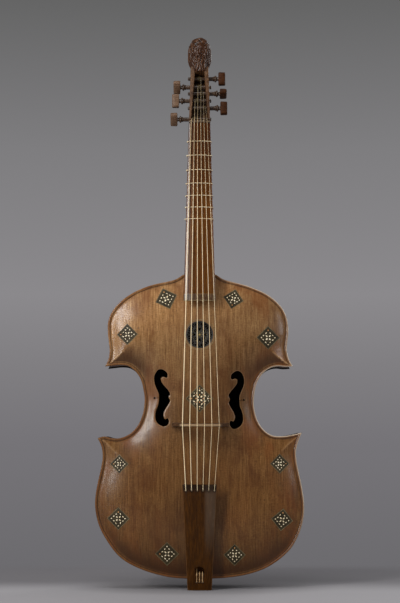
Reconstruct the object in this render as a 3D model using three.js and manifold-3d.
// Viola da gamba: a six-stringed bass viol with a carved head, tied gut frets and inlaid lozenges.
// Lengths are in millimetres. +Z runs up the neck, the belly faces -Y, and +X is to the right
// of someone who looks at the belly. Levels are heights above the foot of the tailpiece, and
// depths are measured backwards (+Y) from the front of the belly's edge.

import * as THREE from 'three';
import { mergeVertices } from 'three/addons/utils/BufferGeometryUtils.js';
import Module from 'manifold-3d';

const wasm = await Module();
wasm.setup();

// Fits
const glueGap = 0.3;
const overrun = 30;
const mergeTolerance = 0.0001;

// Sound box
const bodyBottom = 20.8;
const bodyRoot = 652.5;
const rootHalfWidth = 34.5;
const bouts = {
  left: {
    upperBout: 192.8,
    upperCorner: 197.8,
    upperCornerLevel: 459,
    waist: 114.9,
    lowerCornerLevel: 310,
    lowerCorner: 212.5,
    lowerBout: 217,
  },
  right: {
    upperBout: 186.4,
    upperCorner: 195.3,
    upperCornerLevel: 459,
    waist: 113.5,
    lowerCornerLevel: 321.5,
    lowerCorner: 213.2,
    lowerBout: 217,
  },
};
const bellyThickness = 4.5;
const rimWidth = 10;
const rimLap = 2;
const rimProud = 0.2;
const archHeight = 19;
const archRun = 100;
const backDepth = 109;
const backThickness = 4;
const cantLevel = 520;
const cantRise = 30;
const ribInset = 3;
const ribThickness = 2.5;
const kerf = 0.3;
const gridPitch = 29;
const holeSides = 8;

// Outline points. Upper bout: shares of the bout's half width, and of the height from corner to root.
const upperBoutShares = {
  left: [
    [0.268, 0.946], [0.541, 0.88], [0.758, 0.783], [0.921, 0.642], [0.991, 0.51],
    [1, 0.42], [0.984, 0.231], [0.978, 0.156], [1.003, 0.0375],
  ],
  right: [
    [0.253, 0.956], [0.568, 0.868], [0.793, 0.764], [0.95, 0.605],
    [1, 0.419], [0.994, 0.31], [0.981, 0.179], [1.012, 0.06],
  ],
};
// Waist: shares of the way from the waist to the corner, and of the height between the corners.
const waistShares = {
  left: [
    [0.873, 1.007], [0.621, 1.021], [0.369, 0.993], [0.116, 0.838], [0.013, 0.615], [0, 0.53],
    [0.052, 0.307], [0.201, 0.126], [0.413, 0.0215], [0.626, -0.007], [0.947, 0.028],
  ],
  right: [
    [0.872, 0.992], [0.54, 1], [0.284, 0.924], [0.078, 0.749], [0, 0.492],
    [0.02, 0.31], [0.123, 0.114], [0.331, -0.03], [0.54, -0.057], [0.748, -0.042],
  ],
};
// Lower bout: shares of the bout's half width, and of the height from the bottom to the corner.
const lowerBoutShares = {
  left: [
    [0.955, 0.972], [0.93, 0.879], [0.944, 0.786], [0.976, 0.679], [1, 0.533], [0.969, 0.395],
    [0.901, 0.289], [0.757, 0.151], [0.566, 0.07], [0.281, 0.0104], [0, 0],
  ],
  right: [
    [0.953, 0.949], [0.924, 0.859], [0.942, 0.756], [0.979, 0.626], [1, 0.503], [0.989, 0.4],
    [0.94, 0.292], [0.86, 0.197], [0.67, 0.088], [0.479, 0.034], [0.25, 0.0067], [0, 0],
  ],
};
const outlineSteps = { upper: 16, middle: 18, lower: 22 };

// Soundholes: the inner and outer side of each, and its foot and top
const soundholes = {
  left: { inner: -61.4, outer: -95.1, foot: 333.5, top: 452.5 },
  right: { inner: 60, outer: 93.2, foot: 328.7, top: 449 },
};
const sideNotchRadius = 2.3;
// Shares of the width from the inner to the outer side, and of the height
const soundholeShares = [
  [0.494, 1], [0.741, 0.99], [0.926, 0.927], [1, 0.848], [0.957, 0.744], [0.833, 0.657], [0.71, 0.57],
  [0.7, 0.475], [0.741, 0.378], [0.864, 0.291], [0.926, 0.204], [0.895, 0.117], [0.741, 0.047],
  [0.432, 0], [0.21, 0.012], [0.062, 0.082], [0.14, 0.145], [0.3, 0.13], [0.414, 0.204],
  [0.309, 0.291], [0.123, 0.378], [0, 0.448], [0.09, 0.512], [0, 0.57], [0.123, 0.639],
  [0.34, 0.709], [0.525, 0.779], [0.556, 0.848], [0.401, 0.866], [0.2, 0.85], [0.167, 0.927],
];
const sideNotchShares = [0.97, 0.5];

// Rosette
const roseDrop = 128;
const roseRadius = 28.4;
const roseThickness = 2;
const roseSink = 1;
const roseOuterHoles = { radius: 4.6, circle: 20.5 };
const roseInnerHoles = { radius: 2.6, circle: 11.2 };
const roseHoleCount = 8;
const roseSides = 24;
const roseHoleSides = 6;

// Lozenge inlays
const inlayThickness = 1.2;
const upperInlayShare = 0.7;
// Each lozenge: share of its bout's half width, share of the body's height, side, turn from upright
const inlays = [
  { name: 'inlay_upper_left_inner', acrossShare: -0.362, upShare: 0.918, side: 34, turn: 64.4 },
  { name: 'inlay_upper_right_inner', acrossShare: 0.38, upShare: 0.917, side: 31, turn: 33 },
  { name: 'inlay_upper_left_outer', acrossShare: -0.783, upShare: 0.799, side: 32, turn: 45 },
  { name: 'inlay_upper_right_outer', acrossShare: 0.768, upShare: 0.788, side: 35, turn: 45 },
  { name: 'inlay_centre', acrossShare: 0, upShare: 0.587, side: 41, turn: 45 },
  { name: 'inlay_middle_left', acrossShare: -0.767, upShare: 0.373, side: 28, turn: 45 },
  { name: 'inlay_middle_right', acrossShare: 0.765, upShare: 0.374, side: 29, turn: 45 },
  { name: 'inlay_lower_left_outer', acrossShare: -0.773, upShare: 0.196, side: 33.5, turn: 45 },
  { name: 'inlay_lower_right_outer', acrossShare: 0.784, upShare: 0.192, side: 33, turn: 38 },
  { name: 'inlay_lower_left_inner', acrossShare: -0.309, upShare: 0.082, side: 35, turn: 45 },
  { name: 'inlay_lower_right_inner', acrossShare: 0.332, upShare: 0.0788, side: 32.5, turn: 45 },
];

// Blocks, bar, post and brace inside the sound box
const cornerBlockReach = 50;
const bottomBlockHalfWidth = 30;
const bottomBlockHeight = 24;
const topBlockHalfWidth = 26;
const topBlockHeight = 40;
const topBlockLip = 1;
const barLength = 290;
const barWidth = 9;
const barDepth = 18;
const barEndDepth = 3;
const barOffset = 42;
const postRadius = 6;
const postOffset = 46;
const postDrop = 15;
const postSides = 12;
const braceHalfWidth = 100;
const braceHeight = 60;
const braceThickness = 5;

// Neck and fingerboard
const neckLength = 328.5;
const boardLength = 388;
const boardHalfWidthAtNut = 23;
const boardHalfWidthAtEnd = 33.35;
const boardCrownAtNut = 12;
// Share of the strings' rise from nut to bridge that the board follows
const boardFollowShare = 0.9062;
const boardRiseAtNut = 3;
const boardRiseAtEnd = 6;
const boardEdge = 5;
const neckDepthAtNut = 14;
const neckDepthAtHeel = 19;
const neckRoundness = { shaft: 0.8, heel: 0.5 };
const neckBackSteps = 10;
const boardTopSteps = 6;
const heelHeight = 82;
const heelDepth = 100;
const heelSteps = 6;
const heelStepPower = 1.4;
const nutThickness = 4;
const nutCrown = 10.2;
const nutDrop = 2;

// Tied gut frets: shares of the neck's length, from the nut down
const fretShares = [0.1275, 0.2222, 0.3196, 0.41, 0.491, 0.5686, 0.6454];
const fretRadius = 0.55;
const fretClearance = 0.5;
const fretSides = 5;

// Pegbox, which leans back from the neck
const pegboxSlantShare = 1 / 12;
const pegboxLength = 135.6;
const pegboxHalfWidth = { foot: 22.9, top: 19.3 };
const pegboxDepth = { foot: 22, chin: 36, top: 30 };
const pegboxChin = 25;
const pegboxStart = 7;
const pegboxRoot = 12;
const slotHalfWidth = { foot: 18.25, top: 10.5 };
const slotFloor = 6;
const slotEnd = 14;

// Pegs: share of the way from the first to the last, outer end of the head from the centre line,
// turn of the head
const pegs = [
  { name: 'peg_1', side: 1, alongShare: 0.2741, reach: 59.6, turnShare: 0 },
  { name: 'peg_2', side: 1, alongShare: 0.6315, reach: 58.6, turnShare: 1 / 4 },
  { name: 'peg_3', side: 1, alongShare: 1, reach: 55.7, turnShare: 0 },
  { name: 'peg_4', side: -1, alongShare: 0.7888, reach: 56.6, turnShare: 0.175 },
  { name: 'peg_5', side: -1, alongShare: 0.4528, reach: 59.3, turnShare: 0.028 },
  { name: 'peg_6', side: -1, alongShare: 0, reach: 62.5, turnShare: 0.172 },
];
const firstPegUp = 14;
const lastPegDown = 23.1;
const pegAxisDepth = 14;
const shankRadius = 4.5;
const shankTip = 4;
const pegClearance = 0.3;
const pegSides = 12;
const pegHead = { length: 30, width: 15, thickness: 12.5, chamfer: 1.5 };
const pegNeck = { length: 4, radius: 5 };
const pegBead = { length: 5, radius: 7.3, flatShares: [0.7, 0.3] };

// Carved head
const headHeight = 71;
const headSides = 20;
const headHalfWidth = 26.5;
const headFront = 27;
const headBack = 28;
// Rings from the foot up: shares of the height, of the half width and of the reach to front and back
const headRingShares = [
  [0, 0.698, 0.519, 0.536],
  [0.08, 0.736, 0.63, 0.571],
  [0.17, 0.83, 0.852, 0.679],
  [0.27, 0.925, 1.0, 0.786],
  [0.36, 0.962, 0.981, 0.857],
  [0.45, 0.981, 0.963, 0.929],
  [0.55, 1.0, 0.907, 0.964],
  [0.66, 1.0, 0.963, 1.0],
  [0.77, 0.962, 0.926, 0.964],
  [0.87, 0.83, 0.778, 0.821],
  [0.95, 0.566, 0.519, 0.571],
  [1, 0.226, 0.222, 0.25],
];
const headCurl = 1.1;
const headCurls = 5;
const faceShare = 0.7;
const noseLength = 5;
const noseHalfWidth = 4;
const noseTopShare = 0.6;
const noseFootShare = 0.42;

// Bridge
const stringLength = 643.5;
const bridgeCrown = -85;
const bridgeDrop = 9;
const bridgeTopHalf = 41.5;
const bridgeFootHalf = 59;
const bridgeCentre = 1.5;
const bridgeFootWidth = 20;
const bridgeFootEnd = -8;
const bridgeThickness = { crown: 4, foot: 9 };
const bridgeLegTop = -34;
const bridgeWaistHalf = 47;
const bridgeArchTop = -50;
const bridgeTopSteps = 8;

// Tailpiece and its gut
const tailpieceLength = 215.8;
const tailpieceHalfWidth = { foot: 24.9, top: 35.1 };
const tailpieceFootDepth = -25;
// Share of the rise from the foot to the bridge's crown that the face follows
const tailpieceFollowShare = 0.782;
const tailpieceThickness = 9;
const tailpieceBevel = 4;
const tailpieceFlatShare = 0.62;
const stringHoleDrop = 12.8;
const stringHoleRadius = 1.6;
const tailArch = { foot: 33, top: 48, halfWidth: 9.7 };
const tailArchSteps = 8;
const gutRadius = 1.2;
const gutStrands = 3;
const gutSpacing = 5.9;
const gutHoleLevel = 16;
const gutGroove = { width: 3.4, depth: 2.8 };
const gutHoleRadius = 2.1;
const gutKnotLevel = 42;
const pinDepth = 52;
const pin = {
  foot: 1,
  headRadius: 9,
  headFlatShare: 0.8,
  grooveRadius: 5,
  grooveFoot: 4,
  collarFoot: 17,
  collarRadius: 8,
};
const pinShank = { radius: 4, length: 20 };
const pinSides = 16;
const gutTurnLevels = [5.6, 9.6, 13.6];
const gutTurnSteps = 8;
const gutLineShare = 1.3;

// Strings, from the treble on the right to the bass on the left
const strings = [
  { name: 'string_1', radius: 0.4, startShare: 0.78 },
  { name: 'string_2', radius: 0.48, startShare: 0.6 },
  { name: 'string_3', radius: 0.55, startShare: 0.25 },
  { name: 'string_4', radius: 0.65, startShare: -0.3 },
  { name: 'string_5', radius: 0.75, startShare: -0.66 },
  { name: 'string_6', radius: 0.9, startShare: -0.76 },
];
const spanAtNut = 34;
const spanAtBridge = 74.7;
const spanAtTailpiece = 58.3;
const centreAtNut = -1;
const centreAtBridge = 2.5;
const centreAtTailpiece = 1;
const stringSides = 6;
const knotLength = 2;
const knotRadius = 2.4;
const windingTurns = 3;
const windingSteps = 16;
const windingSides = 5;
const windingGap = 0.6;

// Finishes
const finish = {
  belly: { color: 0x6e4c30, roughness: 0.45, metalness: 0 },
  ribs: { color: 0x5a3a22, roughness: 0.45, metalness: 0 },
  inside: { color: 0xb08a5c, roughness: 0.8, metalness: 0 },
  dark: { color: 0x3a2114, roughness: 0.35, metalness: 0 },
  neck: { color: 0x4c2f1c, roughness: 0.4, metalness: 0 },
  board: { color: 0x5a3018, roughness: 0.35, metalness: 0 },
  gut: { color: 0xc9b488, roughness: 0.5, metalness: 0 },
  mosaic: { color: 0x8d846c, roughness: 0.5, metalness: 0 },
  black: { color: 0x1a1715, roughness: 0.5, metalness: 0 },
};

// Levels that follow from the sizes above
const nutLevel = bodyRoot + neckLength;
const boardEndLevel = nutLevel - boardLength;
const bridgeLevel = nutLevel - stringLength;
const boardCrownAtEnd = mix(boardCrownAtNut, bridgeCrown, boardFollowShare * boardLength / stringLength);
const roseLevel = bodyRoot - roseDrop;
const stringHoleLevel = tailpieceLength - stringHoleDrop;
const tailpieceTopDepth = mix(
  tailpieceFootDepth, bridgeCrown, tailpieceFollowShare * tailpieceLength / bridgeLevel,
);
const ribInner = ribInset + ribThickness;
const blockInset = ribInner + glueGap;
const bodyHalfWidth = Math.max(bouts.left.lowerBout, bouts.right.lowerBout);

const viol = new THREE.Group();
const pegbox = new THREE.Group();
pegbox.position.set(0, boardCrownAtNut, nutLevel);
pegbox.rotation.x = -Math.PI * pegboxSlantShare;
pegbox.updateMatrixWorld(true);

// Solids: closed meshes go in, and joined or cut closed meshes come out

function toSolid(geometry) {
  const bare = geometry.clone();
  bare.deleteAttribute('normal');
  bare.deleteAttribute('uv');
  const merged = mergeVertices(bare, mergeTolerance);
  return new wasm.Manifold(new wasm.Mesh({
    numProp: 3,
    vertProperties: new Float32Array(merged.attributes.position.array),
    triVerts: new Uint32Array(merged.index.array),
  }));
}

function toGeometry(solid) {
  const mesh = solid.getMesh();
  const geometry = new THREE.BufferGeometry();
  geometry.setAttribute('position', new THREE.BufferAttribute(new Float32Array(mesh.vertProperties), 3));
  geometry.setIndex(new THREE.BufferAttribute(new Uint32Array(mesh.triVerts), 1));
  return geometry;
}

function add(name, shape, look, parent = viol) {
  const geometry = shape.isBufferGeometry ? shape : toGeometry(shape);
  const mesh = new THREE.Mesh(geometry, new THREE.MeshStandardMaterial(look));
  mesh.name = name;
  parent.add(mesh);
  return mesh;
}

function mix(from, to, share) {
  return from + (to - from) * share;
}

function shareBetween(value, from, to) {
  return (value - from) / (to - from);
}

// A plate of the given front view between two depths
function prism(points, front, back) {
  const shape = new THREE.Shape(points);
  const geometry = new THREE.ExtrudeGeometry(shape, { depth: back - front, bevelEnabled: false });
  geometry.rotateX(Math.PI / 2);
  geometry.translate(0, back, 0);
  return geometry;
}

// A block of the given side view, points as [depth, level], as wide as twice the half width
function sidePrism(points, halfWidth, centre = 0) {
  const shape = new THREE.Shape(points.map(([y, z]) => new THREE.Vector2(y, z)));
  const geometry = new THREE.ExtrudeGeometry(shape, { depth: halfWidth * 2, bevelEnabled: false });
  const axes = new THREE.Matrix4().makeBasis(
    new THREE.Vector3(0, 1, 0),
    new THREE.Vector3(0, 0, 1),
    new THREE.Vector3(1, 0, 0),
  );
  geometry.applyMatrix4(axes);
  geometry.translate(centre - halfWidth, 0, 0);
  return geometry;
}

function rectangle(left, foot, right, top) {
  return [
    new THREE.Vector2(left, foot),
    new THREE.Vector2(right, foot),
    new THREE.Vector2(right, top),
    new THREE.Vector2(left, top),
  ];
}

// Rings with as many points each, joined in order and closed at both ends, or into a loop
function loft(rings, loop = false) {
  const count = rings[0].length;
  const points = rings.flat();
  const faces = [];
  const joins = loop ? rings.length : rings.length - 1;
  for (let ring = 0; ring < joins; ring += 1) {
    const next = (ring + 1) % rings.length;
    for (let i = 0; i < count; i += 1) {
      const j = (i + 1) % count;
      faces.push(ring * count + i, ring * count + j, next * count + j);
      faces.push(ring * count + i, next * count + j, next * count + i);
    }
  }
  if (!loop) {
    for (const ring of [0, rings.length - 1]) {
      const middle = new THREE.Vector3();
      rings[ring].forEach((point) => middle.addScaledVector(point, 1 / count));
      const hub = points.push(middle) - 1;
      for (let i = 0; i < count; i += 1) {
        const a = ring * count + i;
        const b = ring * count + (i + 1) % count;
        faces.push(...(ring === 0 ? [hub, b, a] : [hub, a, b]));
      }
    }
  }
  let volume = 0;
  for (let i = 0; i < faces.length; i += 3) {
    const [a, b, c] = [points[faces[i]], points[faces[i + 1]], points[faces[i + 2]]];
    volume += a.dot(new THREE.Vector3().crossVectors(b, c));
  }
  if (volume < 0) {
    faces.reverse();
  }
  const geometry = new THREE.BufferGeometry().setFromPoints(points);
  geometry.setIndex(faces);
  return geometry;
}

// A round cord through points, with a radius for each point
function cord(points, radii, sides) {
  const rings = [];
  let up = new THREE.Vector3();
  points.forEach((point, i) => {
    const before = points[Math.max(i - 1, 0)];
    const after = points[Math.min(i + 1, points.length - 1)];
    const ahead = after.clone().sub(before).normalize();
    if (i === 0) {
      up = Math.abs(ahead.x) < Math.SQRT1_2 ? new THREE.Vector3(1, 0, 0) : new THREE.Vector3(0, 1, 0);
    }
    up = up.clone().addScaledVector(ahead, -up.dot(ahead)).normalize();
    const across = new THREE.Vector3().crossVectors(ahead, up);
    const radius = Array.isArray(radii) ? radii[i] : radii;
    rings.push(Array.from({ length: sides }, (_, k) => {
      const angle = 2 * Math.PI * k / sides;
      return point.clone()
        .addScaledVector(up, radius * Math.cos(angle))
        .addScaledVector(across, radius * Math.sin(angle));
    }));
  });
  return loft(rings);
}

// The least gap between the turns of a cord: points nearer along the cord than a reach don't count
function leastGap(points, radius, reach) {
  let least = Infinity;
  const run = [0];
  for (let i = 1; i < points.length; i += 1) {
    run.push(run[i - 1] + points[i].distanceTo(points[i - 1]));
  }
  for (let i = 0; i < points.length; i += 1) {
    for (let j = i + 1; j < points.length; j += 1) {
      if (run[j] - run[i] > reach) {
        least = Math.min(least, points[i].distanceTo(points[j]) - 2 * radius);
      }
    }
  }
  return least;
}

// Outline of the sound box

function smoothLine(points, steps) {
  const curve = new THREE.CatmullRomCurve3(
    points.map(([x, z]) => new THREE.Vector3(x, 0, z)),
    false,
    'centripetal',
  );
  return curve.getSpacedPoints(steps).map((point) => new THREE.Vector2(point.x, point.z));
}

function sideLines(side) {
  const bout = bouts[side];
  const sign = side === 'left' ? -1 : 1;
  const upperRise = bodyRoot - bout.upperCornerLevel;
  const waistRise = bout.upperCornerLevel - bout.lowerCornerLevel;
  const lowerRise = bout.lowerCornerLevel - bodyBottom;
  const upper = [
    [rootHalfWidth, bodyRoot],
    ...upperBoutShares[side].map(([out, up]) => [
      out * bout.upperBout,
      bout.upperCornerLevel + up * upperRise,
    ]),
    [bout.upperCorner, bout.upperCornerLevel],
  ];
  const middle = [
    [bout.upperCorner, bout.upperCornerLevel],
    ...waistShares[side].map(([out, up]) => [
      mix(bout.waist, up > 1 / 2 ? bout.upperCorner : bout.lowerCorner, out),
      bout.lowerCornerLevel + up * waistRise,
    ]),
    [bout.lowerCorner, bout.lowerCornerLevel],
  ];
  const lower = [
    [bout.lowerCorner, bout.lowerCornerLevel],
    ...lowerBoutShares[side].map(([out, up]) => [out * bout.lowerBout, bodyBottom + up * lowerRise]),
  ];
  const placed = (points, steps) => smoothLine(points.map(([x, z]) => [x * sign, z]), steps);
  return {
    upper: placed(upper, outlineSteps.upper),
    middle: placed(middle, outlineSteps.middle),
    lower: placed(lower, outlineSteps.lower),
  };
}

// Five stretches of outline, from the neck down the left side and up the right side
function outlineStretches() {
  const left = sideLines('left');
  const right = sideLines('right');
  return [
    left.upper,
    left.middle,
    [...left.lower, ...right.lower.reverse().slice(1)],
    right.middle.reverse(),
    right.upper.reverse(),
  ];
}

const stretches = outlineStretches();

function crossing(a, b, c, d) {
  const ab = b.clone().sub(a);
  const cd = d.clone().sub(c);
  const across = ab.cross(cd);
  if (across === 0) {
    return null;
  }
  const ac = c.clone().sub(a);
  const onAb = ac.cross(cd) / across;
  const onCd = ac.cross(ab) / across;
  return onAb >= 0 && onAb <= 1 && onCd >= 0 && onCd <= 1 ? a.clone().addScaledVector(ab, onAb) : null;
}

// Two neighbouring stretches are cut where they cross, which is the mitre of their corner
function trimCorner(first, second) {
  for (let i = first.length - 1; i > 0; i -= 1) {
    for (let j = 0; j < second.length - 1; j += 1) {
      const meet = crossing(first[i - 1], first[i], second[j], second[j + 1]);
      if (meet) {
        first.splice(i, first.length - i, meet);
        second.splice(0, j + 1, meet.clone());
        return;
      }
    }
  }
}

function insetStretches(inset) {
  const moved = stretches.map((line) => line.map((point, i) => {
    const before = line[Math.max(i - 1, 0)];
    const after = line[Math.min(i + 1, line.length - 1)];
    const along = after.clone().sub(before).normalize();
    return new THREE.Vector2(point.x - along.y * inset, point.y + along.x * inset);
  }));
  for (let i = 1; i < moved.length; i += 1) {
    trimCorner(moved[i - 1], moved[i]);
  }
  return moved;
}

function joined(lines) {
  return lines.flatMap((line, i) => (i === 0 ? line : line.slice(1)));
}

const outline = joined(stretches);

// Arching of the belly

function edgeDistance(x, z) {
  let inside = false;
  let least = Infinity;
  outline.forEach((a, i) => {
    const b = outline[(i + 1) % outline.length];
    if ((a.y > z) !== (b.y > z) && x < a.x + (z - a.y) / (b.y - a.y) * (b.x - a.x)) {
      inside = !inside;
    }
    const along = b.clone().sub(a);
    const share = THREE.MathUtils.clamp(
      ((x - a.x) * along.x + (z - a.y) * along.y) / along.lengthSq(), 0, 1,
    );
    least = Math.min(least, Math.hypot(x - a.x - along.x * share, z - a.y - along.y * share));
  });
  return inside ? least : 0;
}

function archRise(x, z) {
  const share = THREE.MathUtils.clamp((edgeDistance(x, z) - rimWidth) / archRun, 0, 1);
  return archHeight * Math.sin(share * Math.PI / 2);
}

const gridColumns = Math.ceil((bodyHalfWidth * 2 + gridPitch) / gridPitch);
const gridRows = Math.ceil((bodyRoot - bodyBottom + gridPitch) / gridPitch);
const archGrid = [];
for (let row = 0; row <= gridRows; row += 1) {
  for (let column = 0; column <= gridColumns; column += 1) {
    const x = (column - gridColumns / 2) * gridPitch;
    const z = bodyBottom + (bodyRoot - bodyBottom) / 2 + (row - gridRows / 2) * gridPitch;
    archGrid.push(new THREE.Vector3(x, -archRise(x, z) - rimProud, z));
  }
}

// A slab that follows the belly, between two depths behind its front face
function bellySlab(front, back) {
  const size = archGrid.length;
  const moved = (depth) => archGrid.map((point) => new THREE.Vector3(point.x, point.y + depth, point.z));
  const points = [...moved(front), ...moved(back)];
  const width = gridColumns + 1;
  const faces = [];
  for (let row = 0; row < gridRows; row += 1) {
    for (let column = 0; column < gridColumns; column += 1) {
      const a = row * width + column;
      faces.push(a, a + 1, a + width + 1, a, a + width + 1, a + width);
      faces.push(size + a, size + a + width + 1, size + a + 1);
      faces.push(size + a, size + a + width, size + a + width + 1);
    }
  }
  const wall = (a, b) => faces.push(a, size + a, size + b, a, size + b, b);
  for (let column = 0; column < gridColumns; column += 1) {
    wall(column, column + 1);
    wall(gridRows * width + column + 1, gridRows * width + column);
  }
  for (let row = 0; row < gridRows; row += 1) {
    wall((row + 1) * width, row * width);
    wall(row * width + gridColumns, (row + 1) * width + gridColumns);
  }
  const geometry = new THREE.BufferGeometry().setFromPoints(points);
  geometry.setIndex(faces);
  return toSolid(geometry);
}

// The flat rim of the belly between two depths, and the space inside it
const rimCore = joined(insetStretches(rimWidth));

function rimRing(front, back) {
  const core = toSolid(prism(rimCore, front - overrun, back + overrun));
  return toSolid(prism(outline, front, back)).subtract(core);
}

const inFrontOfBelly = bellySlab(-bodyHalfWidth, bellyThickness + glueGap)
  .add(rimRing(-bodyHalfWidth, bellyThickness + glueGap));
const behindBellyFace = bellySlab(-glueGap, bodyHalfWidth);

// Side view of the back: flat, then canted forwards from the cant level to the neck
function backDepthAt(level) {
  return backDepth - cantRise * Math.max(0, shareBetween(level, cantLevel, bodyRoot));
}

function backSide(frontOffset, backOffset) {
  const foot = bodyBottom - overrun;
  const top = bodyRoot + overrun;
  return toSolid(sidePrism([
    [backDepth + frontOffset, foot],
    [backDepth + backOffset, foot],
    [backDepth + backOffset, cantLevel],
    [backDepthAt(top) + backOffset, top],
    [backDepthAt(top) + frontOffset, top],
    [backDepth + frontOffset, cantLevel],
  ], bodyHalfWidth + overrun));
}

const behindBackInside = backSide(-backThickness - glueGap, overrun + cantRise);

function trimmedInside(geometry) {
  return toSolid(geometry).subtract(inFrontOfBelly).subtract(behindBackInside);
}

// Belly with its soundholes, rose and pockets

function soundholePoints(side) {
  const hole = soundholes[side];
  const place = ([out, up]) => (
    new THREE.Vector2(mix(hole.inner, hole.outer, out), mix(hole.foot, hole.top, up))
  );
  const line = soundholeShares.map(place);
  return { line: side === 'left' ? line : line.reverse(), notch: place(sideNotchShares) };
}

function circlePoints(x, z, radius, sides) {
  return Array.from({ length: sides }, (_, i) => {
    const angle = 2 * Math.PI * (i + 1 / 2) / sides;
    return new THREE.Vector2(x + radius * Math.cos(angle), z + radius * Math.sin(angle));
  });
}

function lozengePoints(inlay, growth) {
  const bout = bouts[inlay.acrossShare < 0 ? 'left' : 'right'];
  const halfWidth = inlay.upShare > upperInlayShare ? bout.upperBout : bout.lowerBout;
  const x = inlay.acrossShare * halfWidth;
  const z = mix(bodyBottom, bodyRoot, inlay.upShare);
  const reach = (inlay.side / 2 + growth) * Math.SQRT2;
  return Array.from({ length: 4 }, (_, i) => {
    const angle = THREE.MathUtils.degToRad(inlay.turn) + Math.PI / 2 * (i - 1 / 2);
    return new THREE.Vector2(x + reach * Math.sin(-angle), z + reach * Math.cos(angle));
  });
}

function makeBelly() {
  const front = -archHeight - overrun;
  const core = joined(insetStretches(rimWidth - rimLap));
  const arched = bellySlab(0, bellyThickness).intersect(toSolid(prism(core, front, overrun)));
  let belly = rimRing(0, bellyThickness).add(arched);
  for (const side of ['left', 'right']) {
    const { line, notch } = soundholePoints(side);
    belly = belly.subtract(toSolid(prism(line, front, overrun)));
    const round = circlePoints(notch.x, notch.y, sideNotchRadius, holeSides);
    belly = belly.subtract(toSolid(prism(round, front, overrun)));
  }
  const rose = circlePoints(0, roseLevel, roseRadius + glueGap, roseSides);
  belly = belly.subtract(toSolid(prism(rose, front, overrun)));
  const pocket = bellySlab(-overrun, inlayThickness + glueGap);
  const tile = bellySlab(0, inlayThickness);
  for (const inlay of inlays) {
    belly = belly.subtract(pocket.intersect(toSolid(prism(lozengePoints(inlay, glueGap), front, overrun))));
    add(inlay.name, tile.intersect(toSolid(prism(lozengePoints(inlay, 0), front, overrun))), finish.mosaic);
  }
  add('top_plate', belly, finish.belly);
}

function makeRosette() {
  const shape = new THREE.Shape(circlePoints(0, 0, roseRadius, roseSides));
  for (const ring of [roseOuterHoles, roseInnerHoles]) {
    for (let i = 0; i < roseHoleCount; i += 1) {
      const angle = 2 * Math.PI * i / roseHoleCount;
      const [x, z] = [ring.circle * Math.cos(angle), ring.circle * Math.sin(angle)];
      shape.holes.push(new THREE.Path(circlePoints(x, z, ring.radius, roseHoleSides)));
    }
  }
  const geometry = new THREE.ExtrudeGeometry(shape, { depth: roseThickness, bevelEnabled: false });
  geometry.rotateX(Math.PI / 2);
  const mesh = add('rosette', toSolid(geometry), finish.black);
  mesh.position.set(0, roseSink + roseThickness - archHeight, roseLevel);
}

// Back, ribs and the wood inside

function makeBack() {
  const plate = backSide(-backThickness, 0).intersect(toSolid(prism(outline, 0, backDepth + overrun)));
  add('back_plate', plate, finish.ribs);
}

function makeRibs() {
  const outer = insetStretches(ribInset);
  const inner = insetStretches(ribInner);
  const front = bellyThickness + glueGap;
  const names = ['rib_upper_left', 'rib_middle_left', 'rib_lower', 'rib_middle_right', 'rib_upper_right'];
  names.forEach((name, i) => {
    let rib = toSolid(prism([...outer[i], ...inner[i].slice().reverse()], front, backDepth));
    rib = rib.subtract(behindBackInside);
    if (name.includes('middle')) {
      for (const end of [0, -1]) {
        const from = outer[i].at(end);
        const to = inner[i].at(end);
        const along = to.clone().sub(from).normalize().multiplyScalar(ribThickness);
        const side = new THREE.Vector2(-along.y, along.x).setLength(kerf);
        const cut = [
          from.clone().sub(along).sub(side),
          to.clone().add(along).sub(side),
          to.clone().add(along).add(side),
          from.clone().sub(along).add(side),
        ];
        rib = rib.subtract(toSolid(prism(cut, 0, backDepth + overrun)));
      }
      rib = rib.decompose().sort((a, b) => b.volume() - a.volume())[0];
    }
    if (name === 'rib_lower') {
      const hole = new THREE.CylinderGeometry(
        pinShank.radius + glueGap, pinShank.radius + glueGap, overrun * 2, pinSides,
      );
      hole.rotateX(Math.PI / 2);
      hole.translate(0, pinDepth, bodyBottom);
      rib = rib.subtract(toSolid(hole));
    }
    add(name, rib, finish.ribs);
  });
}

function makeBlocks() {
  const inside = toSolid(prism(joined(insetStretches(blockInset)), -archHeight, backDepth));
  for (const side of ['left', 'right']) {
    for (const level of ['upper', 'lower']) {
      const inward = side === 'left' ? 1 : -1;
      const upward = level === 'upper' ? 1 : -1;
      const x = -inward * bouts[side][`${level}Corner`];
      const z = bouts[side][`${level}CornerLevel`];
      const corner = [
        new THREE.Vector2(x - inward * overrun, z),
        new THREE.Vector2(x + inward * cornerBlockReach, z),
        new THREE.Vector2(x - inward * overrun, z + upward * cornerBlockReach),
      ];
      const block = trimmedInside(prism(corner, -archHeight, backDepth)).intersect(inside);
      add(`corner_block_${level}_${side}`, block, finish.inside);
    }
  }
  const bottom = rectangle(
    -bottomBlockHalfWidth, bodyBottom, bottomBlockHalfWidth, bodyBottom + blockInset + bottomBlockHeight,
  );
  const hole = new THREE.CylinderGeometry(
    pinShank.radius + glueGap, pinShank.radius + glueGap, overrun * 3, pinSides,
  );
  hole.rotateX(Math.PI / 2);
  hole.translate(0, pinDepth, bodyBottom);
  const block = trimmedInside(prism(bottom, -archHeight, backDepth)).intersect(inside);
  add('bottom_block', block.subtract(toSolid(hole)), finish.inside);
}

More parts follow.
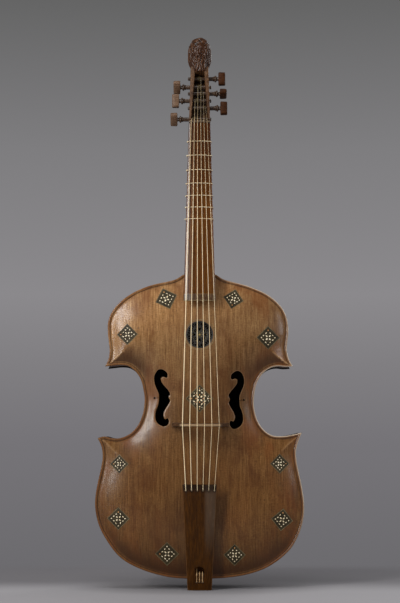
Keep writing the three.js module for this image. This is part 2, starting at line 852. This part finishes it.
function makeBarPostBrace() {
  const underside = bellyThickness - archHeight;
  const half = barLength / 2;
  const bar = sidePrism([
    [underside - barDepth, bridgeLevel - half],
    [underside + barEndDepth, bridgeLevel - half],
    [underside + barDepth, bridgeLevel - half / 2],
    [underside + barDepth, bridgeLevel + half / 2],
    [underside + barEndDepth, bridgeLevel + half],
    [underside - barDepth, bridgeLevel + half],
  ], barWidth / 2, -barOffset);
  add('bass_bar', toSolid(bar).subtract(inFrontOfBelly), finish.inside);
  const inner = backDepth - backThickness;
  const postLevel = bridgeLevel - postDrop;
  const brace = prism(rectangle(
    -braceHalfWidth, postLevel - braceHeight / 2, braceHalfWidth, postLevel + braceHeight / 2,
  ), inner - glueGap - braceThickness, inner - glueGap);
  add('back_brace', toSolid(brace), finish.inside);
  const postBack = inner - braceThickness - 2 * glueGap;
  const post = prism(circlePoints(postOffset, postLevel, postRadius, postSides), -archHeight, postBack);
  add('sound_post', toSolid(post).subtract(inFrontOfBelly), finish.inside);
}

// Fingerboard and neck at a level

function boardAt(level) {
  const share = shareBetween(level, nutLevel, boardEndLevel);
  const crown = mix(boardCrownAtNut, boardCrownAtEnd, share);
  const edge = crown + mix(boardRiseAtNut, boardRiseAtEnd, share);
  return {
    halfWidth: mix(boardHalfWidthAtNut, boardHalfWidthAtEnd, share),
    crown,
    edge,
    under: edge + boardEdge,
  };
}

function neckAt(level) {
  const heelTop = bodyRoot + heelHeight;
  const slim = mix(neckDepthAtNut, neckDepthAtHeel, shareBetween(level, nutLevel, heelTop));
  const heel = Math.max(0, shareBetween(level, heelTop, bodyRoot));
  return {
    halfWidth: boardAt(level).halfWidth,
    front: boardAt(level).under + glueGap,
    depth: mix(slim, heelDepth, heel ** 3),
    roundness: mix(neckRoundness.shaft, neckRoundness.heel, heel),
  };
}

function neckBackPoints(level, growth) {
  const neck = neckAt(level);
  return Array.from({ length: neckBackSteps + 1 }, (_, i) => {
    const angle = Math.PI * i / neckBackSteps;
    const across = Math.sign(Math.cos(angle)) * Math.abs(Math.cos(angle)) ** neck.roundness;
    const deep = i === 0 || i === neckBackSteps ? 0 : Math.sin(angle) ** neck.roundness;
    return new THREE.Vector3(
      across * (neck.halfWidth + growth), neck.front + deep * (neck.depth + growth), level,
    );
  });
}

function boardTopPoints(level, growth, steps) {
  const board = boardAt(level);
  return Array.from({ length: steps + 1 }, (_, i) => {
    const across = i / steps * 2 - 1;
    const rise = (board.edge - board.crown) * across ** 2;
    return new THREE.Vector3(across * board.halfWidth, board.crown + rise - growth, level);
  });
}

function makeFingerboard() {
  const rings = [boardEndLevel, nutLevel - glueGap].map((level) => {
    const board = boardAt(level);
    return [
      ...boardTopPoints(level, 0, boardTopSteps),
      new THREE.Vector3(board.halfWidth, board.under, level),
      new THREE.Vector3(-board.halfWidth, board.under, level),
    ];
  });
  add('fingerboard', loft(rings), finish.board);
}

function nutTop(x) {
  return nutCrown + nutDrop * (x / boardHalfWidthAtNut) ** 2;
}

function makeNut() {
  const front = nutLevel;
  const back = nutLevel + nutThickness;
  const rings = [front, back].map((level) => {
    const top = Array.from({ length: boardTopSteps + 1 }, (_, i) => {
      const x = (i / boardTopSteps * 2 - 1) * boardHalfWidthAtNut;
      return new THREE.Vector3(x, nutTop(x), level);
    });
    const foot = boardAt(nutLevel).under - glueGap;
    return [
      ...top,
      new THREE.Vector3(boardHalfWidthAtNut, foot, level),
      new THREE.Vector3(-boardHalfWidthAtNut, foot, level),
    ];
  });
  add('nut', loft(rings), finish.dark);
}

function slotHalfWidthAt(along) {
  return mix(slotHalfWidth.foot, slotHalfWidth.top, shareBetween(along, pegboxStart, pegboxLength - slotEnd));
}

function pegAlong(peg) {
  return mix(firstPegUp, pegboxLength - lastPegDown, peg.alongShare);
}

// The pegbox and its slot, drawn with X across, Y backwards from its front face and Z along it
function makePegboxSolids() {
  const cheeks = sidePrism([
    [0, pegboxStart],
    [0, pegboxLength],
    [pegboxDepth.top, pegboxLength],
    [pegboxDepth.chin, pegboxChin],
    [pegboxDepth.foot, -nutThickness],
    [pegboxRoot, -nutThickness],
    [pegboxRoot, pegboxStart],
  ], pegboxHalfWidth.foot);
  const taper = prism([
    new THREE.Vector2(-pegboxHalfWidth.foot, -overrun),
    new THREE.Vector2(pegboxHalfWidth.foot, -overrun),
    new THREE.Vector2(pegboxHalfWidth.foot, 0),
    new THREE.Vector2(pegboxHalfWidth.top, pegboxLength + glueGap),
    new THREE.Vector2(-pegboxHalfWidth.top, pegboxLength + glueGap),
    new THREE.Vector2(-pegboxHalfWidth.foot, 0),
  ], -overrun, pegboxDepth.chin + overrun);
  const slotTop = pegboxLength - slotEnd;
  const slotWidth = prism([
    new THREE.Vector2(-slotHalfWidth.foot, pegboxStart),
    new THREE.Vector2(slotHalfWidth.foot, pegboxStart),
    new THREE.Vector2(slotHalfWidth.top, slotTop),
    new THREE.Vector2(-slotHalfWidth.top, slotTop),
  ], -overrun, pegboxDepth.chin);
  const slotSide = sidePrism([
    [-overrun, pegboxStart],
    [-overrun, slotTop],
    [pegboxDepth.top - slotFloor, slotTop],
    [pegboxDepth.chin - slotFloor, pegboxChin],
    [pegboxDepth.foot, pegboxStart],
  ], pegboxHalfWidth.foot);
  const slot = toSolid(slotWidth).intersect(toSolid(slotSide));
  let box = toSolid(cheeks).intersect(toSolid(taper)).subtract(slot);
  const holeRadius = (shankRadius + pegClearance) / Math.cos(Math.PI / pegSides);
  const holeLength = pegboxHalfWidth.foot * 2 + overrun;
  for (const peg of pegs) {
    const hole = new THREE.CylinderGeometry(holeRadius, holeRadius, holeLength, pegSides);
    hole.rotateZ(Math.PI / 2);
    hole.translate(0, pegAxisDepth, pegAlong(peg));
    box = box.subtract(toSolid(hole));
  }
  return [box, slot].map((solid) => toSolid(toGeometry(solid).applyMatrix4(pegbox.matrixWorld)));
}

function makeNeck() {
  const foot = bodyRoot + glueGap;
  const levels = Array.from({ length: heelSteps + 1 }, (_, i) => (
    mix(foot, bodyRoot + heelHeight, (i / heelSteps) ** heelStepPower)
  ));
  levels.push(nutLevel + nutThickness + glueGap);
  const shaft = toSolid(loft(levels.map((level) => neckBackPoints(level, 0))));
  const block = trimmedInside(prism(rectangle(
    -topBlockHalfWidth, bodyRoot - topBlockHeight, topBlockHalfWidth, bodyRoot + topBlockLip,
  ), -archHeight, backDepth));
  const [box, slot] = makePegboxSolids();
  add('neck', shaft.add(block).subtract(slot).add(box), finish.neck);
}

function makeFrets() {
  const lean = (boardCrownAtNut - boardCrownAtEnd) / boardLength;
  const growth = fretRadius + fretClearance;
  fretShares.forEach((share, index) => {
    const level = nutLevel - neckLength * share;
    const board = boardAt(level);
    const side = board.halfWidth + growth;
    const line = [
      ...boardTopPoints(level, growth, boardTopSteps),
      new THREE.Vector3(side, board.edge, level),
      ...neckBackPoints(level, growth).slice(1, -1),
      new THREE.Vector3(-side, board.edge, level),
    ];
    line.forEach((point) => {
      point.z -= (point.y - board.crown) * lean;
    });
    const normal = new THREE.Vector3(0, lean, 1).normalize();
    const rings = line.map((point, i) => {
      const before = line[(i + line.length - 1) % line.length];
      const after = line[(i + 1) % line.length];
      const ahead = after.clone().sub(before).normalize();
      const outward = new THREE.Vector3().crossVectors(ahead, normal).normalize();
      return Array.from({ length: fretSides }, (_, k) => {
        const angle = 2 * Math.PI * k / fretSides;
        return point.clone()
          .addScaledVector(outward, fretRadius * Math.cos(angle))
          .addScaledVector(normal, fretRadius * Math.sin(angle));
      });
    });
    add(`fret_${index + 1}`, loft(rings, true), finish.gut);
  });
}

// Pegs, with their axis along X and the head outwards

function makePeg(peg) {
  const headFoot = peg.reach - pegHead.width;
  const tip = -(pegboxHalfWidth.foot + shankTip);
  const beadFlat = pegBead.flatShares.map((share) => [
    pegBead.radius, headFoot - pegNeck.length - pegBead.length * share,
  ]);
  const profile = [
    [0, tip],
    [shankRadius - pegHead.chamfer, tip],
    [shankRadius, tip + pegHead.chamfer],
    [shankRadius, headFoot - pegNeck.length - pegBead.length],
    ...beadFlat,
    [pegNeck.radius, headFoot - pegNeck.length],
    [pegNeck.radius, headFoot + pegHead.chamfer],
    [0, headFoot + pegHead.chamfer],
  ].map(([radius, x]) => new THREE.Vector2(radius, x));
  const turned = new THREE.LatheGeometry(profile, pegSides);
  turned.rotateZ(-Math.PI / 2);
  const headRing = (x, trim) => {
    const [y, z] = [pegHead.thickness / 2 - trim, pegHead.length / 2 - trim];
    return [[-y, -z], [y, -z], [y, z], [-y, z]].map(([across, along]) => new THREE.Vector3(x, across, along));
  };
  const head = loft([
    headRing(headFoot, pegHead.chamfer),
    headRing(headFoot + pegHead.chamfer, 0),
    headRing(peg.reach - pegHead.chamfer, 0),
    headRing(peg.reach, pegHead.chamfer),
  ]);
  const mesh = add(peg.name, toSolid(turned).add(toSolid(head)), finish.dark, pegbox);
  mesh.position.set(0, pegAxisDepth, pegAlong(peg));
  mesh.rotation.set(2 * Math.PI * peg.turnShare, 0, peg.side < 0 ? Math.PI : 0);
}

// The head stands on the pegbox's top, its lowest ring square to the pegbox and the rest upright
function makeHead() {
  const foot = new THREE.Vector3(0, pegboxDepth.top / 2, pegboxLength + glueGap);
  foot.applyMatrix4(pegbox.matrixWorld);
  const slope = Math.tan(Math.PI * pegboxSlantShare);
  const headPoint = ([up, out, front, back], angle) => {
    const x = out * headHalfWidth * Math.sin(angle);
    const reach = Math.cos(angle) > 0 ? front * headFront : back * headBack;
    const curl = headCurl * Math.cos(angle * headCurls + up * 2 * Math.PI * headCurls);
    const hair = Math.cos(angle) < faceShare && up > 0 && up < 1 ? curl : 0;
    const bridged = up > noseFootShare && up < noseTopShare && Math.abs(x) < noseHalfWidth;
    const y = -reach * Math.cos(angle) - (bridged ? noseLength : 0);
    const scale = 1 + hair / (out * headHalfWidth);
    const lean = y * slope * Math.max(0, 1 - up * headCurls);
    return new THREE.Vector3(x * scale, foot.y + y * scale, foot.z + headHeight * up - lean);
  };
  const rings = headRingShares.map((ring) => (
    Array.from({ length: headSides }, (_, i) => headPoint(ring, 2 * Math.PI * i / headSides))
  ));
  add('carved_head', loft(rings), finish.neck);
}

// Bridge

function bridgeTop(x) {
  return bridgeCrown + bridgeDrop * ((x - bridgeCentre) / bridgeTopHalf) ** 2;
}

function makeBridge() {
  const outlinePoints = [];
  for (let i = 0; i <= bridgeTopSteps; i += 1) {
    const x = bridgeCentre + (i / bridgeTopSteps * 2 - 1) * bridgeTopHalf;
    outlinePoints.push([x, bridgeTop(x)]);
  }
  const half = [
    [bridgeWaistHalf, mix(bridgeLegTop, bridgeTop(bridgeCentre + bridgeTopHalf), 1 / 3)],
    [bridgeFootHalf, bridgeLegTop],
    [bridgeFootHalf, bridgeFootEnd],
    [bridgeFootHalf - bridgeFootWidth, bridgeFootEnd],
    [bridgeFootHalf - bridgeFootWidth, bridgeLegTop],
    [bridgeTopHalf / 2, bridgeArchTop],
  ];
  outlinePoints.push(...half.map(([x, y]) => [bridgeCentre + x, y]));
  outlinePoints.push(...half.reverse().map(([x, y]) => [bridgeCentre - x, y]));
  const shape = new THREE.Shape(outlinePoints.map(([x, y]) => new THREE.Vector2(x, y)));
  const tailFace = bridgeLevel - bridgeThickness.crown;
  const footFace = tailFace + bridgeThickness.foot;
  const geometry = new THREE.ExtrudeGeometry(shape, { depth: bridgeThickness.foot, bevelEnabled: false });
  geometry.translate(0, 0, tailFace);
  const front = bridgeCrown - overrun;
  const wedge = sidePrism([
    [front, tailFace - overrun],
    [overrun, tailFace - overrun],
    [overrun, footFace],
    [0, footFace],
    [bridgeCrown, bridgeLevel],
    [front, bridgeLevel],
  ], bodyHalfWidth);
  add('bridge', toSolid(geometry).intersect(toSolid(wedge)).subtract(behindBellyFace), finish.dark);
}

// Tailpiece, tail gut and pin

function tailpieceAt(level) {
  const share = level / tailpieceLength;
  return {
    halfWidth: mix(tailpieceHalfWidth.foot, tailpieceHalfWidth.top, share),
    face: mix(tailpieceFootDepth, tailpieceTopDepth, share),
  };
}

function stringX(index, span, centre) {
  return centre + span * (1 / 2 - index / (strings.length - 1));
}

function gutX(index) {
  return (index - 1) * gutSpacing;
}

function makeTailpiece() {
  const rings = [0, tailpieceLength].map((level) => {
    const { halfWidth, face } = tailpieceAt(level);
    const flat = halfWidth * tailpieceFlatShare;
    return [
      [-halfWidth, face + tailpieceBevel],
      [-flat, face],
      [flat, face],
      [halfWidth, face + tailpieceBevel],
      [halfWidth, face + tailpieceThickness],
      [-halfWidth, face + tailpieceThickness],
    ].map(([x, y]) => new THREE.Vector3(x, y, level));
  });
  let solid = toSolid(loft(rings));
  const front = tailpieceTopDepth - overrun;
  const arch = [
    new THREE.Vector2(-tailArch.halfWidth, tailArch.foot),
    new THREE.Vector2(tailArch.halfWidth, tailArch.foot),
    ...Array.from({ length: tailArchSteps + 1 }, (_, i) => {
      const angle = Math.PI * i / tailArchSteps;
      const rise = (tailArch.top - tailArch.foot) / 2;
      return new THREE.Vector2(
        tailArch.halfWidth * Math.cos(angle), tailArch.top - rise + rise * Math.sin(angle),
      );
    }),
  ];
  solid = solid.subtract(toSolid(prism(arch, front, overrun)));
  strings.forEach((_, i) => {
    const x = stringX(i, spanAtTailpiece, centreAtTailpiece);
    const hole = prism(circlePoints(x, stringHoleLevel, stringHoleRadius, holeSides), front, overrun);
    solid = solid.subtract(toSolid(hole));
  });
  for (let i = 0; i < gutStrands; i += 1) {
    const x = gutX(i);
    const half = gutGroove.width / 2;
    const [foot, top] = [gutHoleLevel - gutHoleRadius, tailArch.foot + gutGroove.depth];
    const floor = (level) => tailpieceAt(level).face + gutGroove.depth;
    const groove = sidePrism([[front, foot], [floor(foot), foot], [floor(top), top], [front, top]], half, x);
    const hole = prism(circlePoints(x, gutHoleLevel, gutHoleRadius, holeSides), front, overrun);
    solid = solid.subtract(toSolid(groove)).subtract(toSolid(hole));
  }
  add('tailpiece', solid, finish.dark);
}

function makePin() {
  const profile = [
    [0, pin.foot],
    [pin.headRadius * pin.headFlatShare, pin.foot],
    [pin.headRadius, mix(pin.foot, pin.grooveFoot, 1 / 2)],
    [pin.grooveRadius, pin.grooveFoot],
    [pin.grooveRadius, pin.collarFoot],
    [pin.collarRadius, pin.collarFoot + gutRadius],
    [pin.collarRadius, bodyBottom + ribInset - glueGap],
    [pinShank.radius, bodyBottom + ribInset - glueGap],
    [pinShank.radius, bodyBottom + ribInset + pinShank.length],
    [0, bodyBottom + ribInset + pinShank.length],
  ].map(([radius, z]) => new THREE.Vector2(radius, z));
  const geometry = new THREE.LatheGeometry(profile, pinSides);
  geometry.rotateX(Math.PI / 2);
  geometry.translate(0, pinDepth, 0);
  add('tail_pin', toSolid(geometry), finish.dark);
}

// One gut: down the left groove, round the pin, up the right groove and back round the pin,
// then up and down the middle groove to a last turn
function makeTailGut() {
  const faceAt = (level) => tailpieceAt(level).face;
  const rest = gutGroove.depth - gutRadius - glueGap;
  const grooved = (i, level) => new THREE.Vector3(gutX(i), faceAt(level) + rest, level);
  const placed = (i, depth, level) => new THREE.Vector3(gutX(i), faceAt(level) + depth, level);
  const behind = (i, level) => placed(i, tailpieceThickness + gutSpacing, level);
  const behindLip = (i) => [
    behind(i, tailArch.foot + 2 * gutRadius),
    behind(i, gutHoleLevel + 4 * gutRadius),
  ];
  const overLip = (i) => [
    placed(i, tailpieceThickness, tailArch.foot + 3 * gutRadius),
    placed(i, tailpieceThickness / 2, tailArch.foot + 2 * gutRadius),
    placed(i, rest, tailArch.foot + gutRadius),
  ];
  const downFront = (i) => [
    ...overLip(i),
    grooved(i, mix(tailArch.foot, gutHoleLevel, 1 / 2)),
    grooved(i, gutHoleLevel + gutRadius / 2),
    placed(i, tailpieceThickness / 2, gutHoleLevel),
    placed(i, tailpieceThickness + gutRadius, gutHoleLevel - gutRadius / 2),
  ];
  const turnRadius = pin.grooveRadius + gutRadius + glueGap * 2;
  const round = (from, to, level) => Array.from({ length: gutTurnSteps + 1 }, (_, k) => {
    const angle = Math.PI * k / gutTurnSteps;
    const side = mix(from, to, k / gutTurnSteps) < 0 ? -1 : 1;
    const across = Math.abs(Math.cos(angle)) * side;
    return new THREE.Vector3(across * turnRadius, pinDepth + turnRadius * Math.sin(angle), level);
  });
  const points = [
    behind(0, gutKnotLevel),
    ...downFront(0),
    ...round(-1, 1, gutTurnLevels[0]),
    ...downFront(2).reverse(),
    ...behindLip(2),
    ...round(1, -1, gutTurnLevels[2]),
    ...behindLip(1).reverse(),
    ...downFront(1),
    ...round(-1, 1, gutTurnLevels[1]),
  ];
  const curve = new THREE.CatmullRomCurve3(points, false, 'centripetal');
  const line = curve.getPoints(Math.round(points.length * gutLineShare));
  console.log(`tail gut: length ${curve.getLength().toFixed(0)} mm, least gap to itself `
    + `${leastGap(line, gutRadius, gutRadius * 8).toFixed(2)} mm`);
  add('tail_gut', cord(line, gutRadius, stringSides), finish.gut);
}

// Strings and their windings

function makeString(string, index) {
  const peg = pegs[index];
  const { radius } = string;
  const rest = radius + glueGap;
  const holeX = stringX(index, spanAtTailpiece, centreAtTailpiece);
  const bridgeX = stringX(index, spanAtBridge, centreAtBridge);
  const nutX = stringX(index, spanAtNut, centreAtNut);
  const { face } = tailpieceAt(stringHoleLevel);
  const back = face + tailpieceThickness;
  const along = pegAlong(peg);
  const startX = string.startShare * slotHalfWidthAt(along);
  const nutFront = new THREE.Vector3(nutX, nutTop(nutX) - rest, nutLevel);
  const nutBack = new THREE.Vector3(nutX, nutTop(nutX) - rest, nutLevel + nutThickness + rest);
  // The straight run from the nut touches the round of the winding on its far side
  const turnRadius = shankRadius + glueGap + radius;
  const local = nutBack.clone().applyMatrix4(pegbox.matrixWorld.clone().invert());
  const toAxis = new THREE.Vector2(along - local.z, pegAxisDepth - local.y);
  const lift = Math.asin(turnRadius / toAxis.length());
  const heading = Math.atan2(toAxis.y, toAxis.x) - lift;
  const run = toAxis.length() * Math.cos(lift);
  const touchZ = local.z + run * Math.cos(heading);
  const touchY = local.y + run * Math.sin(heading);
  const touch = new THREE.Vector3(startX, touchY, touchZ).applyMatrix4(pegbox.matrixWorld);
  const points = [
    new THREE.Vector3(holeX, back + knotLength + glueGap, stringHoleLevel),
    new THREE.Vector3(holeX, back + glueGap, stringHoleLevel),
    new THREE.Vector3(holeX, back + glueGap / 2, stringHoleLevel),
    new THREE.Vector3(holeX, face - radius, stringHoleLevel),
    new THREE.Vector3(bridgeX, bridgeTop(bridgeX) - rest, bridgeLevel - bridgeThickness.crown),
    new THREE.Vector3(bridgeX, bridgeTop(bridgeX) - rest, bridgeLevel),
    nutFront,
    nutBack,
    touch,
  ];
  const radii = points.map((_, i) => (i < 2 ? knotRadius : radius));
  let length = 0;
  points.slice(1).forEach((point, i) => {
    length += point.distanceTo(points[i]);
  });
  add(string.name, cord(points, radii, stringSides), finish.gut);

  const pitch = 2 * radius + windingGap;
  const inward = startX > 0 ? -1 : 1;
  const from = Math.atan2(touchY - pegAxisDepth, touchZ - along);
  const turnPoints = Array.from({ length: windingTurns * windingSteps + 1 }, (_, k) => {
    const angle = from + 2 * Math.PI * k / windingSteps;
    const x = startX + inward * pitch * (1 + k / windingSteps);
    return new THREE.Vector3(x, turnRadius * Math.sin(angle), turnRadius * Math.cos(angle));
  });
  const curl = 2 * Math.PI * turnRadius;
  console.log(`${string.name}: run ${length.toFixed(0)} mm, winding ${(curl * windingTurns).toFixed(0)} mm, `
    + `least gap between turns ${leastGap(turnPoints, radius, curl / 2).toFixed(2)} mm`);
  const winding = add(`${string.name}_winding`, cord(turnPoints, radius, windingSides), finish.gut, pegbox);
  winding.position.set(0, pegAxisDepth, along);
}

makeBelly();
makeRosette();
makeBack();
makeRibs();
makeBlocks();
makeBarPostBrace();
makeNeck();
makeFingerboard();
makeNut();
makeFrets();
pegs.forEach(makePeg);
makeHead();
makeBridge();
makeTailpiece();
makePin();
makeTailGut();
strings.forEach(makeString);
viol.add(pegbox);

// The origin is under the middle of the instrument
const bounds = new THREE.Box3().setFromObject(viol);
viol.position.set(
  -(bounds.min.x + bounds.max.x) / 2,
  -(bounds.min.y + bounds.max.y) / 2,
  -bounds.min.z,
);

export default viol;
